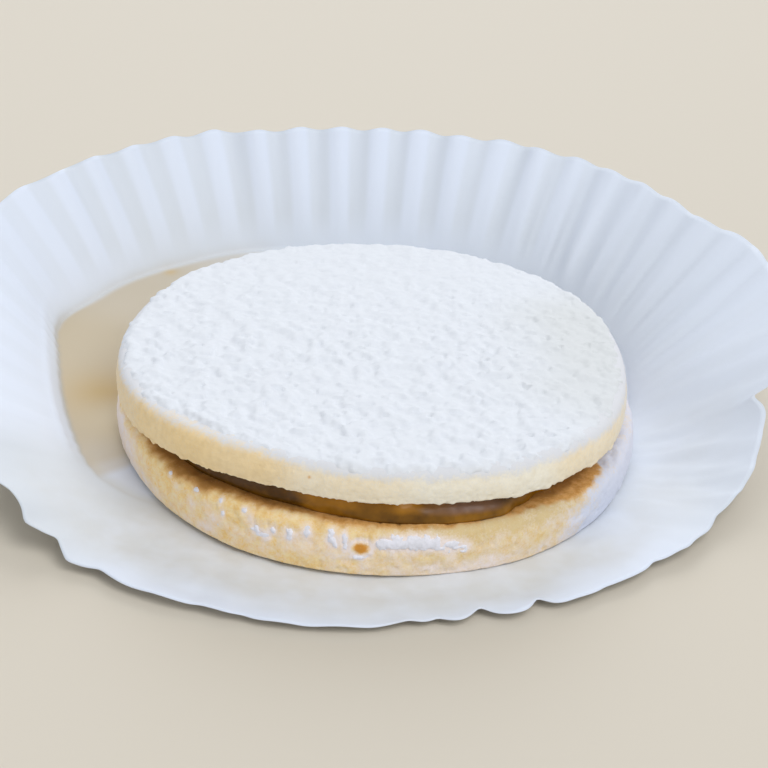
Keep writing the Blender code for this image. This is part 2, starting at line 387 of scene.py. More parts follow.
def spot_relief_group():
    """Normal of fine relief made of soft spots, Rise high."""
    tree, start, end = new_group("spot_relief", [("Size", "Float", MM), ("Rise", "Float", 0.1 * MM)],
                                 [("Normal", "Vector")])
    spots = use_group(tree, soft_spots, Detail=3.0, Roughness=0.65)
    relief = tree.nodes.new("ShaderNodeBump")
    tree.links.new(start.outputs["Size"], spots.inputs["Size"])
    tree.links.new(start.outputs["Rise"], relief.inputs["Distance"])
    tree.links.new(spots.outputs["Value"], relief.inputs["Height"])
    tree.links.new(relief.outputs["Normal"], end.inputs["Normal"])
    return tree


def plain_material(name, roughness):
    """A material with one Principled shader, its node tree, and that shader."""
    mat = bpy.data.materials.new(name)
    mat.use_nodes = True
    tree = mat.node_tree
    shader = tree.nodes["Principled BSDF"]
    shader.inputs["Roughness"].default_value = roughness
    return mat, tree, shader


def mark_value(tree, mark):
    """Output of a named attribute."""
    node = tree.nodes.new("ShaderNodeAttribute")
    node.attribute_name = mark
    return node.outputs["Fac"]


def speckle(tree, size, detail, rough=0.55):
    """Output of soft random spots of that size, 0 to 1."""
    return use_group(tree, soft_spots, Size=size, Detail=detail, Roughness=rough).outputs["Value"]


def ramp(tree, source, stops):
    """Colour or grey by position along source: stops are (position, colour)."""
    node = tree.nodes.new("ShaderNodeValToRGB")
    node.color_ramp.elements[0].position = stops[0][0]
    node.color_ramp.elements[0].color = (*stops[0][1], 1.0)
    node.color_ramp.elements[1].position = stops[-1][0]
    node.color_ramp.elements[1].color = (*stops[-1][1], 1.0)
    for position, colour in stops[1:-1]:
        node.color_ramp.elements.new(position).color = (*colour, 1.0)
    tree.links.new(source, node.inputs["Fac"])
    return node.outputs["Color"]


def blend_colours(tree, share, first, second, blend="MIX"):
    """Colour that goes from first to second, or to another blend of both, as share goes from 0
    to 1. Each is an output or a plain value."""
    node = tree.nodes.new("ShaderNodeMix")
    node.data_type = "RGBA"
    node.blend_type = blend
    for socket, value in ((node.inputs[6], first), (node.inputs[7], second)):
        if isinstance(value, tuple):
            socket.default_value = (*value, 1.0)
        else:
            tree.links.new(value, socket)
    if isinstance(share, float):
        node.inputs[0].default_value = share
    else:
        tree.links.new(share, node.inputs[0])
    return node.outputs[2]


def tinted(tree, colour, tints):
    """Colour that goes to each tint in turn where its mark says. Tints are (mark, colour)."""
    for mark, tint in tints:
        colour = blend_colours(tree, mark_value(tree, mark), colour, tint)
    return colour


def sum_up(tree, operation, first, second):
    """Output of one arithmetic step on two outputs or numbers."""
    node = tree.nodes.new("ShaderNodeMath")
    node.operation = operation
    for socket, value in zip(node.inputs, (first, second)):
        if isinstance(value, float):
            socket.default_value = value
        else:
            tree.links.new(value, socket)
    return node.outputs["Value"]


def paint(tree, shader, colour, size, rise):
    """Colour on the shader, and on its normal fine relief made of spots of that size."""
    relief = use_group(tree, spot_relief, Size=size, Rise=rise)
    tree.links.new(colour, shader.inputs["Base Color"])
    tree.links.new(relief.outputs["Normal"], shader.inputs["Normal"])


soft_spots = soft_spots_group()
spot_relief = spot_relief_group()

CASE_WHITE = (0.79, 0.85, 0.965)
CASE_GREY = (0.69, 0.70, 0.70)
CASE_PALE_GREY = (0.73, 0.755, 0.79)
CASE_SHADE = (0.70, 0.745, 0.80)
# Painted shade of the left crease's line.
CASE_CREASE_SHADE = (0.50, 0.46, 0.39)
CASE_SOAKED = (0.61, 0.515, 0.365)
CASE_BROWNED = (0.64, 0.45, 0.18)
# Painted light beside the cookie.
CASE_PAINTED_LIGHT = (0.76, 0.65, 0.45)


def case_paper():
    """White paper with a faint fibre. It is greyer and faintly blotched where it lies on the table,
    has painted shade on the standing wall, most at its foot and in its grooves, and is butter-brown
    where it is soaked, most of all in one blotch and one fleck, with painted light making it paler
    beside the cookie. A thin grey-brown painted shade line follows the left crease."""
    mat, tree, shader = plain_material("case_paper", 0.65)
    grey = ramp(tree, speckle(tree, 4.0 * MM, 2.0), [(0.38, CASE_GREY), (0.64, CASE_PALE_GREY)])
    # The standing wall gets painted shade; where the paper lies flat it is grey.
    white = tinted(tree, CASE_WHITE, [("shaded", CASE_SHADE), ("greyed", grey)])
    # Painted light: the paler tan beside the cookie. Painted shade: the thin line along the left crease.
    tan = tinted(tree, CASE_SOAKED, [("browned", CASE_BROWNED), ("painted_light", CASE_PAINTED_LIGHT)])
    colour = tinted(tree, white, [("soaked", tan), ("crease_shade", CASE_CREASE_SHADE)])
    paint(tree, shader, colour, 1.0 * MM, 0.012 * MM)
    return mat


case_rings = make_case()
case = ring_body("paper_case_sheet", case_rings, case_marks(case_rings))
case.data.materials.append(case_paper())
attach(case, "root")
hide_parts("paper_case")


# =============================================================================================
# Bottom biscuit. A disc of cornflour shortbread, cut with a round cutter and baked pale gold. It
# lies flat in the case. Its side is rough crumb with icing sugar caught on it, and its upper
# edge is worn and stained by the filling.
# =============================================================================================

COOKIE_CENTRE = np.array([2.4, -12.6]) * MM
UNDERSIDE = 0.65 * MM
LOWER_EDGE = 0.35 * MM
COOKIE_COLUMNS = 800                # points around the side of each biscuit
BOTTOM_RADIUS = 30.3 * MM
BOTTOM_THICKNESS = 4.8 * MM
BOTTOM_TOP_SLOPE = (-0.022, -0.040)
BOTTOM_UPPER_EDGE = 1.5 * MM
BOTTOM_WAVES = [(2, 0.25 * MM, -0.4), (3, 0.55 * MM, -2.3), (4, 0.40 * MM, 2.7)]

# How much further in the side's foot lies than its upper edge, by direction, in millimetres.
LEAN = [(0, 0.1), (180, 0.1), (205, 0.55), (222, 0.5), (245, 0.15), (265, 0.0), (300, 0.1), (316, 0.4),
        (336, 0.4)]
ROUNDING_ROWS = 6
SIDE_ROWS = 20
SIDE_BULGE = 0.15 * MM
FACE_STEPS = np.array([0.35, 0.7, 1.1, 1.5, 1.9, 2.3, 2.8, 3.4, 4.2, 5.5, 8.0, 13.0, 20.0]) * MM
ROUND_WITHIN = 15.0 * MM            # further in than this the rings are plain circles


def front_angles(count):
    """Angles once round, twice as close together at the front as on average."""
    turn = 2.0 * np.pi * np.arange(count) / count
    return turn - 0.5 * np.cos(turn)


def uneven(angle, waves):
    """Sum of slow waves round an outline: each wave is (count, size, phase)."""
    return sum(size * np.cos(count * angle + phase) for count, size, phase in waves)


def out_from(centre, reach, angle):
    """x and y at a distance from a centre, in a direction."""
    return centre[0] + reach * np.cos(angle), centre[1] + reach * np.sin(angle)


def tilted(x, y, height, slope):
    """Height of a plane: its height over the cookie's middle and its slope along x and y."""
    return height + slope[0] * (x - COOKIE_CENTRE[0]) + slope[1] * (y - COOKIE_CENTRE[1])


def biscuit_profile(lower_edge, upper_edge):
    """Side of a biscuit, from its underside's middle to its top's middle, as columns of inset
    from the radius, share of the thickness, and rise past that share. Quarter circles round its
    edges, half a sine wave swells its side, and the flat faces go in by growing steps."""
    turn = np.radians(np.linspace(0.0, 90.0, ROUNDING_ROWS))
    rise = np.linspace(0.05, 0.95, SIDE_ROWS)
    under = [(lower_edge + step, 0.0, 0.0) for step in FACE_STEPS[::-1]]
    lower = [(lower_edge * (1.0 - math.sin(t)), 0.0, lower_edge * (1.0 - math.cos(t))) for t in turn]
    side = [(-SIDE_BULGE * math.sin(math.pi * share), share, 0.0) for share in rise]
    upper = [(upper_edge * (1.0 - math.sin(t)), 1.0, -upper_edge * (1.0 - math.cos(t)))
             for t in turn[::-1]]
    over = [(upper_edge + step, 1.0, 0.0) for step in FACE_STEPS]
    return np.array(under + lower + side + upper + over)


def biscuit_rings(centre, radius, waves, edges, lower_face, upper_face):
    """Rings of a round biscuit between two faces, each a function of x and y. The edges'
    roundings keep their size, and the side's shares are of what is left between them."""
    inset, share, rise = biscuit_profile(*edges).T[:, :, None]
    angle = front_angles(COOKIE_COLUMNS)
    reach = radius + uneven(angle, waves)[None, :] - inset
    reach = np.where(inset > ROUND_WITHIN, radius - inset, reach)
    x, y = out_from(centre, reach, angle)
    low = lower_face(x, y)
    high = upper_face(x, y)
    side_foot = low + edges[0]
    side_height = high - edges[1] - side_foot
    height = np.where(share == 0.0, low + rise,
                      np.where(share == 1.0, high + rise, side_foot + side_height * share))
    return points_at(x, y, height)


def bottom_top_face(x, y):
    """Height of the bottom biscuit's top face: a plane, higher at the front."""
    return tilted(x, y, UNDERSIDE + BOTTOM_THICKNESS, BOTTOM_TOP_SLOPE)


def lean_in(turn, share):
    """How much further in the side lies at a share of its height than at its upper edge."""
    return around(LEAN, turn) * (1.0 - share) * MM


def crumb_relief(points, size, seed):
    """Rough baked crumb: lumps of two sizes and a fine grain, and pores where a fourth random
    value dips."""
    lumps = 0.5 * cloud(points, size, seed) + 0.35 * cloud(points, 0.45 * size, seed + 1)
    grain = 0.2 * cloud(points, 0.22 * size, seed + 2)
    pores = smooth_step(cloud(points, 0.5 * size, seed + 3), -0.35, -0.75)
    return lumps + grain - 0.8 * pores


def make_bottom():
    """Rings of the disc, leant in at the foot and pushed out and in by the crumb, which is finer
    underneath and coarsest along the worn upper edge."""
    rings = biscuit_rings(COOKIE_CENTRE, BOTTOM_RADIUS, BOTTOM_WAVES, (LOWER_EDGE, BOTTOM_UPPER_EDGE),
                          lambda x, y: UNDERSIDE + 0.0 * x, bottom_top_face)
    side = smooth_step(rings[..., 2], UNDERSIDE + 0.05 * MM, UNDERSIDE + 0.5 * MM)
    away = rings[..., :2] - COOKIE_CENTRE
    share = (rings[..., 2] - UNDERSIDE) / BOTTOM_THICKNESS
    lean = lean_in(compass_of(rings, COOKIE_CENTRE), np.clip(share, 0.0, 1.0))
    rings[..., :2] -= away / BOTTOM_RADIUS * lean[..., None]
    worn = smooth_step(share, 0.84, 0.95) * smooth_step(share, 1.06, 0.98)
    relief = crumb_relief(rings, 1.3 * MM, 21) * (0.04 + 0.13 * side + 0.14 * worn) * MM
    return rings + facing(rings) * relief[..., None]


# How far from the middle the filling has stained the top face, and how far inside that edge its
# syrup has soaked in, a mark that is also painted shade in the gap under the top biscuit, by
# direction, in millimetres.
STAIN_REACH = [(0, 26.0), (30, 26.0), (90, 28.5), (200, 28.7), (212, 29.5), (222, 29.9), (229, 30.0),
               (237, 28.8), (241, 29.3), (247, 29.5), (253, 28.5), (259, 29.4), (290, 29.4), (300, 29.0),
               (305, 28.9), (310, 28.9), (316, 29.5), (320, 29.8), (324, 29.5), (330, 29.3), (333, 28.5),
               (337, 27.0), (345, 26.0)]
SYRUP_AND_SHADE_INSET = [(0, 4.0), (185, 4.0), (198, 0.9), (205, 0.7), (230, 0.6), (240, 0.7), (250, 0.8), (262, 4.0),
               (295, 4.0), (305, 1.5), (312, 1.5), (319, 2.0), (326, 1.8), (331, 1.8), (337, 4.0)]

# How much darker the side is, partly baked and partly painted shade at the front right under the
# top biscuit's edge, and how much painted shade turns its powder bluer, by direction.
BAKED_AND_SHADE = [(0, 0.0), (215, 0.0), (240, 0.1), (262, 0.2), (285, 0.75), (312, 0.85), (326, 0.3)]
POWDER_SHADE_COMPASS = [(0, 0.8), (25, 0.5), (60, 0.2), (180, 0.1), (240, 0.0), (300, 0.1), (310, 0.3), (322, 1.0)]

# Share of the side that loose powder covers, by direction, and the same near its lower edge.
POWDER = [(0, 0.95), (90, 0.8), (180, 0.85), (198, 0.8), (204, 0.6), (209, 0.28), (215, 0.12), (235, 0.2),
          (245, 0.32), (250, 0.38), (255, 0.42), (264, 0.45), (280, 0.34), (290, 0.28), (300, 0.26),
          (308, 0.36), (316, 0.5), (323, 0.82), (330, 1.0)]
POWDER_LOW = [(0, 1.0), (90, 0.8), (180, 0.85), (199, 0.8), (207, 0.6), (214, 0.4), (225, 0.28),
              (238, 0.28), (247, 0.42), (255, 0.14), (264, 0.35), (280, 0.5), (289, 0.68), (298, 0.72),
              (304, 0.42), (311, 0.52), (317, 0.75), (323, 1.0)]
BARE_SPOT = (267.65, 0.59)          # direction and share of the height
BARE_SPOT_RADIUS = 1.0 * MM         # half its width; its height is less
BARE_SPOT_SQUAT = 1.67

# Sugar stuck to the side: a thick patch at the front right and small flecks. Clumps are
# (direction, share of the height, half width in degrees, half height as a share, strength).
CLUMPS = [(271.6, 0.70, 1.6, 0.12, 0.75), (274.7, 0.74, 2.2, 0.15, 1.0), (278.5, 0.74, 2.4, 0.17, 1.1),
          (282.3, 0.73, 2.3, 0.16, 1.05), (286.3, 0.68, 2.1, 0.15, 0.9), (289.6, 0.60, 1.6, 0.12, 0.65),
          (220.5, 0.87, 0.9, 0.07, 1.0), (228.8, 0.87, 0.9, 0.07, 1.0), (235.8, 0.88, 0.8, 0.06, 0.9),
          (241.8, 0.88, 0.8, 0.06, 0.9), (222.8, 0.72, 1.2, 0.10, 0.4), (227.8, 0.53, 1.3, 0.14, 0.5),
          (231.4, 0.20, 2.0, 0.12, 0.4), (234.6, 0.46, 2.0, 0.16, 0.55), (236.8, 0.66, 0.6, 0.08, 0.8),
          (243.5, 0.80, 0.9, 0.10, 0.5), (245.2, 0.58, 1.3, 0.12, 0.95), (247.4, 0.50, 1.0, 0.12, 0.9),
          (248.8, 0.64, 0.8, 0.09, 0.8), (252.3, 0.62, 1.0, 0.13, 0.9), (256.2, 0.76, 1.0, 0.14, 0.95),
          (261.4, 0.76, 1.1, 0.17, 0.95), (264.2, 0.80, 0.9, 0.14, 0.9), (264.4, 0.60, 0.6, 0.10, 0.8),
          (267.2, 0.41, 1.9, 0.06, 1.0), (262.4, 0.62, 0.6, 0.08, 0.6)]
CLUMP_MOST = 1.3


def spot_distance(turn, share):
    """Distance along the side from the bare spot, longer upwards than sideways."""
    sideways = np.radians(turn_from(BARE_SPOT[0], turn)) * BOTTOM_RADIUS
    upwards = (share - BARE_SPOT[1]) * BOTTOM_THICKNESS * BARE_SPOT_SQUAT
    return np.hypot(sideways, upwards)


def clump_amount(turn, share):
    """Sum of the clumps' bell curves, with none in the bare spot."""
    amount = 0.0 * turn
    for direction, middle, wide, tall, strength in CLUMPS:
        amount = amount + strength * bell(turn_from(direction, turn), wide) * bell(share - middle, tall)
    outside = smooth_step(spot_distance(turn, share), 0.8 * BARE_SPOT_RADIUS, 1.15 * BARE_SPOT_RADIUS)
    return np.minimum(amount, CLUMP_MOST) * outside


def powder_cover(turn, share, points):
    """Share of the side that is white: loose powder, most uneven where it half covers, thinner
    high up and thicker round the clumps and in a ring round the bare spot."""
    low = smooth_step(share, 0.5, 0.15)
    high = smooth_step(share, 0.72, 0.88) * around([(0, 0.1), (200, 0.6), (315, 0.7), (325, 0.1)], turn)
    cover = (around(POWDER, turn) * (1.0 - low) + around(POWDER_LOW, turn) * low) * (1.0 - high)
    half = 4.0 * cover * (1.0 - cover)
    cover = cover + half * (0.22 * cloud(points, 1.6 * MM, 25) + 0.25 * cloud(points, 0.6 * MM, 26))
    ring = 0.6 * bell(spot_distance(turn, share) / BARE_SPOT_RADIUS - 1.3, 0.25)
    return np.clip(cover + clump_amount(turn, share) + ring, 0.0, 1.0)


def bottom_marks(rings):
    """The stain covers the worn upper edge as far as a ragged line, and its syrup, partly painted
    shade of the gap under the top biscuit, ends further in. The powder, the bare spot, the baked
    tint with its painted shade and the painted shade on the powder are on the side."""
    turn = compass_of(rings, COOKIE_CENTRE)
    reach = distance_of(rings, COOKIE_CENTRE)
    share = (rings[..., 2] - UNDERSIDE) / (bottom_top_face(rings[..., 0], rings[..., 1]) - UNDERSIDE)
    edge = around(STAIN_REACH, turn) * MM + 0.4 * MM * cloud(rings, 2.0 * MM, 24)
    edge = edge + 0.45 * MM * cloud(rings, 0.8 * MM, 23)
    stain = smooth_step(reach, edge + 0.35 * MM, edge - 0.45 * MM) * smooth_step(share, 0.75, 0.92)
    # Further in lies the syrup, which is partly painted shade of the gap under the top biscuit.
    edge = edge - around(SYRUP_AND_SHADE_INSET, turn) * MM
    syrup_and_gap_shade = smooth_step(reach, edge + 0.35 * MM, edge - 0.35 * MM) * stain
    away = spot_distance(turn, share) + 0.2 * MM * cloud(rings, 0.7 * MM, 19)
    bare = smooth_step(away, BARE_SPOT_RADIUS, 0.55 * BARE_SPOT_RADIUS)
    powder = powder_cover(turn, share, rings) * (1.0 - stain) * (1.0 - bare)
    # The baked tint is partly painted shade, at the front right and most under the top biscuit's edge.
    baked_and_shade = around(BAKED_AND_SHADE, turn) * (0.5 + 0.5 * smooth_step(share, 0.55, 0.95))
    return {"stain": stain, "syrup_and_gap_shade": syrup_and_gap_shade, "bare": bare, "powder": powder, "baked_and_shade": baked_and_shade,
            "painted_powder_shade": around(POWDER_SHADE_COMPASS, turn)}


DOUGH_GOLD = (0.92, 0.575, 0.17)
DOUGH_PALE = (0.97, 0.77, 0.42)
# Baked colour that is partly painted shade.
DOUGH_BAKED_AND_SHADE = (0.63, 0.50, 0.275)
DOUGH_STAIN = (0.70, 0.39, 0.13)
DOUGH_STAIN_DEEP = (0.54, 0.265, 0.06)
# Syrup colour that is partly painted shade of the gap.
DOUGH_SYRUP_AND_SHADE = (0.41, 0.20, 0.045)
DOUGH_BARE = (0.63, 0.265, 0.03)
POWDER_WHITE = (0.94, 0.815, 0.745)
# Painted shade on the powder at the right.
POWDER_SHADE = (0.67, 0.70, 0.81)
POWDER_GRAIN = 0.22 * MM
COVER_WEIGHT = 1.28                 # the share of white is cover and grain, each times its
GRAIN_WEIGHT = 1.15                 # weight, less a constant
COVER_LESS = 0.71


def dusted_crumb_group():
    """Dough under loose powder: fine spots of sugar that join up as the share they cover grows."""
    tree, start, end = new_group(
        "dusted_crumb", [("Dough", "Color", (1.0, 1.0, 1.0, 1.0)), ("Sugar", "Color", (1.0, 1.0, 1.0, 1.0)),
                         ("Cover", "Float", 0.5)], [("Color", "Color")])
    cover = sum_up(tree, "MULTIPLY", start.outputs["Cover"], COVER_WEIGHT)
    grain = sum_up(tree, "MULTIPLY", speckle(tree, POWDER_GRAIN, 3.0), GRAIN_WEIGHT)
    share = sum_up(tree, "SUBTRACT", sum_up(tree, "ADD", cover, grain), COVER_LESS)
    share.node.use_clamp = True
    colour = blend_colours(tree, share, start.outputs["Dough"], start.outputs["Sugar"])
    tree.links.new(colour, end.inputs["Color"])
    return tree


def dusted(tree, dough, sugar, mark):
    """Colour of dough under as much powder as a named attribute gives."""
    node = use_group(tree, dusted_crumb, Dough=dough, Sugar=sugar, Cover=mark_value(tree, mark))
    return node.outputs["Color"]


dusted_crumb = dusted_crumb_group()


def bottom_dough():
    """Pale golden crumb, mottled, and darker at the front right, partly baked and partly painted
    shade; brown where the filling has stained it, darker still where its syrup has soaked in and
    painted shade lies in the gap, orange in one bare spot, and whitened by powder, which painted
    shade turns bluer at the right."""
    mat, tree, shader = plain_material("bottom_dough", 0.85)
    mottle = speckle(tree, 0.9 * MM, 6.0, 0.7)
    dough = ramp(tree, mottle, [(0.32, DOUGH_GOLD), (0.62, DOUGH_PALE)])
    stain = ramp(tree, mottle, [(0.40, DOUGH_STAIN_DEEP), (0.60, DOUGH_STAIN)])
    # The baked tint is partly painted shade; the syrup tint is partly painted shade of the gap.
    colour = tinted(tree, dough, [("baked_and_shade", DOUGH_BAKED_AND_SHADE), ("stain", stain), ("syrup_and_gap_shade", DOUGH_SYRUP_AND_SHADE),
                                  ("bare", DOUGH_BARE)])
    # Painted shade: the powder turns bluer and greyer at the right.
    sugar = tinted(tree, POWDER_WHITE, [("painted_powder_shade", POWDER_SHADE)])
    paint(tree, shader, dusted(tree, colour, sugar, "powder"), 0.25 * MM, 0.06 * MM)
    return mat


bottom_rings = make_bottom()
bottom = ring_body("bottom_shortbread", bottom_rings, bottom_marks(bottom_rings))
bottom.data.materials.append(bottom_dough())
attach(bottom, "root")
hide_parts("bottom_biscuit")

# The clumps are a band of sugar that runs inside the crumb and breaks out where they are. None
# of it gets the greyer tint that the coat has towards its outer right.
SUGAR_ROWS = 56
SUGAR_COLUMNS = 1500
SUGAR_BACK_SHARES = [0.97, 0.7, 0.4, 0.12]
SUGAR_BACK = 0.9 * MM               # depth of the band's back
SUGAR_SUNK = 0.45 * MM              # depth below the crumb where there is no sugar
SUGAR_STEP = 0.03 * MM              # least it stands out where there is some, and most
SUGAR_RISE = 0.16 * MM
SUGAR_GAIN = 0.22 * MM
SUGAR_THRESHOLD = 0.62
SUGAR_GREYER = (0.725, 0.742, 0.745)
CLUMP_WHITE = (0.84, 0.835, 0.90)
CLUMP_SHADE = (0.75, 0.745, 0.79)


def side_skin(angle, share):
    """Points of the biscuit's side without its crumb, which follow the rounded upper edge by a
    quarter circle, and the way out from each."""
    bevel = np.clip(share - 0.7, 0.0, 1.0) * BOTTOM_THICKNESS
    reach = BOTTOM_RADIUS + uneven(angle, BOTTOM_WAVES) + SIDE_BULGE * np.sin(np.pi * share)
    reach = reach - lean_in(np.degrees(angle) % 360.0, share)
    reach = reach - (BOTTOM_UPPER_EDGE - np.sqrt(BOTTOM_UPPER_EDGE ** 2 - bevel ** 2))
    x, y = out_from(COOKIE_CENTRE, reach, angle)
    skin = points_at(x, y, UNDERSIDE + share * (bottom_top_face(x, y) - UNDERSIDE))
    out = points_at(np.cos(angle), np.sin(angle), bevel / BOTTOM_UPPER_EDGE)
    return skin, out / np.linalg.norm(out, axis=2, keepdims=True)


def make_side_sugar():
    """A band that follows the side. It stands out where clumps and fine lumps add up to more
    than a threshold, and elsewhere runs inside the crumb. Its back lies deeper still."""
    shares = np.concatenate([np.linspace(0.12, 0.97, SUGAR_ROWS), SUGAR_BACK_SHARES])
    angle, share = np.meshgrid(front_angles(SUGAR_COLUMNS), shares)
    turn = np.degrees(angle) % 360.0
    skin, out = side_skin(angle, share)
    clumps = clump_amount(turn, share)
    amount = 1.05 * clumps + 0.25 * powder_cover(turn, share, skin) - 0.3
    lumps = 0.45 * cloud(skin, 0.6 * MM, 27) + 0.35 * cloud(skin, 0.3 * MM, 28)
    lumps = lumps * (1.0 - 0.5 * smooth_step(amount, 0.7, 1.1)) + 0.12 * cloud(skin, 0.16 * MM, 29)
    lumps = lumps * (0.35 + 0.65 * smooth_step(clumps, 0.03, 0.3))
    thick = (amount + lumps - SUGAR_THRESHOLD) * SUGAR_GAIN
    thick = np.where(thick > 0.0, np.minimum(thick + SUGAR_STEP, SUGAR_RISE),
                     np.maximum(3.0 * thick, -SUGAR_SUNK))
    thick = thick - 0.4 * MM * smooth_step(share, 0.90, 0.97)
    thick = np.where(spot_distance(turn, share) < BARE_SPOT_RADIUS, -SUGAR_SUNK, thick)
    thick[SUGAR_ROWS:] = -SUGAR_BACK
    return skin + out * thick[..., None]


def icing_sugar(name, shade, white):
    """Matt white, greyer and less blue where its thin mark says, with a finer grain than the mesh holds."""
    mat, tree, shader = plain_material(name, 0.9)
    tone = ramp(tree, speckle(tree, 0.8 * MM, 3.0), [(0.3, shade), (0.55, white)])
    paint(tree, shader, tinted(tree, tone, [("thin", SUGAR_GREYER)]), 0.4 * MM, 0.03 * MM)
    return mat


side_rings = make_side_sugar()
side_sugar = ring_body("icing_sugar_side", side_rings, {"thin": 0.0 * side_rings[..., 0]})
side_sugar.data.materials.append(icing_sugar("caked_sugar", CLUMP_SHADE, CLUMP_WHITE))
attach(side_sugar, "root")


# =============================================================================================
# Filling. Dulce de leche, a thick caramelised milk paste, spread between the biscuits. Its side
# is glossy and uneven, with a few swollen lobes, and stays a little inside the biscuits' edges.
# =============================================================================================

TOP_SLOPE = (0.0, -0.060)
TOP_UNDERSIDE = 7.8 * MM
TOP_OFFSET = np.array([-0.7, 0.6]) * MM
TOP_RADIUS = 30.1 * MM
TOP_SAG_FROM = 20.0 * MM
FILLING_COLUMNS = 600

# How much lower than that plane the top biscuit's lower edge hangs, by direction, and how far
# from the cookie's middle the filling's side lies at its foot and at its head, in millimetres.
TOP_SAG = [(0, 1.0), (30, 0.6), (90, 0.2), (180, 0.2), (205, 0.25), (214, 0.0), (224, -0.25), (232, -0.3),
           (240, -0.4), (250, -0.38), (258, -0.05), (268, 0.2), (282, 0.15), (292, 0.2), (302, 0.4),
           (312, 0.35), (320, 0.30), (326, 0.75), (340, 1.1)]
FILLING_FOOT = [(0, 26.3), (60, 26.5), (190, 26.8), (210, 27.6), (222, 27.8), (240, 27.5), (252, 27.3),
                (258, 27.7), (275, 28.5), (290, 28.9), (299, 28.8), (306, 27.6), (313, 26.6), (335, 26.3)]
FILLING_HEAD = [(0, 26.3), (60, 26.5), (190, 26.2), (215, 26.8), (240, 26.2), (250, 26.2), (256, 27.4),
                (268, 27.2), (275, 26.9), (290, 26.6), (301, 26.8), (312, 26.0), (335, 26.2)]

# Where thin paste shows amber near the filling's foot and near its head, by direction; low values
# are painted shade where the paste lies recessed in the gap and at its foot, and the peak near 277
# degrees is a painted highlight. Then where a greyish pink painted sheen stands for the front
# window's reflection, by direction.
AMBER_LOW = [(0, 0.3), (190, 0.1), (235, 0.0), (249, 0.0), (257, 0.35), (264, 0.2), (280, 0.1), (289, 0.3),
             (297, 0.2), (302, 0.25), (307, 0.4), (320, 0.5)]
AMBER_HIGH = [(0, 0.3), (190, 0.0), (246, -0.1), (257, 0.5), (263, 0.6), (269, 0.35), (273, 0.4),
              (276.5, 0.8), (279, 0.7), (282, 0.4), (290, 0.35), (299, 0.0), (306, -0.1), (318, 0.1),
              (325, 0.4)]
PAINTED_SHEEN = [(0, 0.0), (279, 0.0), (284, 0.5), (290, 0.9), (297, 0.7), (302, 0.0)]
# A painted highlight: one lighter cream-orange spot near the head of the paste.
HIGHLIGHT_SPOT = (277.2, 0.72)          # direction and share of the height
HIGHLIGHT_SPOT_WIDTH = (1.6, 0.14)
FILLING_ROWS = 25
FILLING_HEIGHT = 3.0 * MM           # of its side, about


def top_underside(x, y):
    """Height of the top biscuit's lower face: a plane that rises to the front, and sags or lifts
    a little towards its edge."""
    away_x = x - COOKIE_CENTRE[0]
    away_y = y - COOKIE_CENTRE[1]
    sag = around(TOP_SAG, np.degrees(np.arctan2(away_y, away_x))) * MM
    sag = sag * smooth_step(np.hypot(away_x, away_y), TOP_SAG_FROM, TOP_RADIUS)
    return tilted(x, y, TOP_UNDERSIDE, TOP_SLOPE) - sag


def make_filling():
    """Flat rings under and over, and between them a side that leans from its foot to its head
    and swells by a half circle, with soft lobes."""
    angle = front_angles(FILLING_COLUMNS)
    share = np.concatenate([[0.0, 0.0], np.linspace(0.0, 1.0, FILLING_ROWS), [1.0, 1.0]])[:, None]
    inset = np.concatenate([[12.0, 3.0], np.zeros(FILLING_ROWS), [3.0, 12.0]])[:, None] * MM
    turn = np.degrees(angle) % 360.0
    swell = np.sqrt(np.clip(1.0 - (2.0 * share - 1.0) ** 2, 0.0, 1.0))
    swell = swell * around([(0, 1.0), (298, 1.0), (308, 0.2), (328, 0.2), (340, 1.0)], turn)
    foot = around(FILLING_FOOT, turn) * MM
    head = around(FILLING_HEAD, turn) * MM
    spot = points_at(np.cos(angle), np.sin(angle), 0.0)
    lobes = 0.5 * cloud(spot, 0.11, 31) + 0.3 * cloud(spot, 0.05, 32)
    reach = foot + (head - foot) * share ** 1.3 + swell * (0.3 + 0.5 * lobes) * MM - inset
    x, y = out_from(COOKIE_CENTRE, reach, angle)
    low = bottom_top_face(x, y)
    rings = points_at(x, y, low + (top_underside(x, y) - low) * share)
    ripple = 0.10 * cloud(rings, (2.6 * MM, 2.6 * MM, 0.9 * MM), 33) * MM * swell
    return rings + facing(rings) * ripple[..., None]


def filling_marks(rings):
    """Amber from its foot's to its head's compass, partly painted shade, with one painted highlight spot, and
    the painted sheen.
    """
    turn = compass_of(rings, COOKIE_CENTRE)
    share = (rings[..., 2] - bottom_top_face(rings[..., 0], rings[..., 1])) / FILLING_HEIGHT
    # Low amber is painted shade in the recessed gap and at the foot.
    amber_shade_and_highlight = around(AMBER_LOW, turn)
    amber_shade_and_highlight = amber_shade_and_highlight + (around(AMBER_HIGH, turn) - amber_shade_and_highlight) * smooth_step(share, 0.25, 0.6)
    # Painted highlight: one cream spot.
    painted_highlight = bell(turn - HIGHLIGHT_SPOT[0], HIGHLIGHT_SPOT_WIDTH[0]) * bell(share - HIGHLIGHT_SPOT[1], HIGHLIGHT_SPOT_WIDTH[1])
    # Painted sheen: greyish pink where the paste's shoulder would reflect the front window.
    painted_sheen = around(PAINTED_SHEEN, turn) * smooth_step(share, 0.25, 0.45) * smooth_step(share, 0.95, 0.75)
    return {"amber_shade_and_highlight": amber_shade_and_highlight + 0.5 * painted_highlight, "painted_sheen": painted_sheen}


CARAMEL_DARK = (0.10, 0.042, 0.003)
CARAMEL_LIGHT = (0.40, 0.175, 0.010)
CARAMEL_AMBER = (0.52, 0.24, 0.03)
# The next two are a painted highlight and a painted sheen.
CARAMEL_HIGHLIGHT = (0.66, 0.36, 0.12)
CARAMEL_SHEEN = (0.23, 0.13, 0.09)


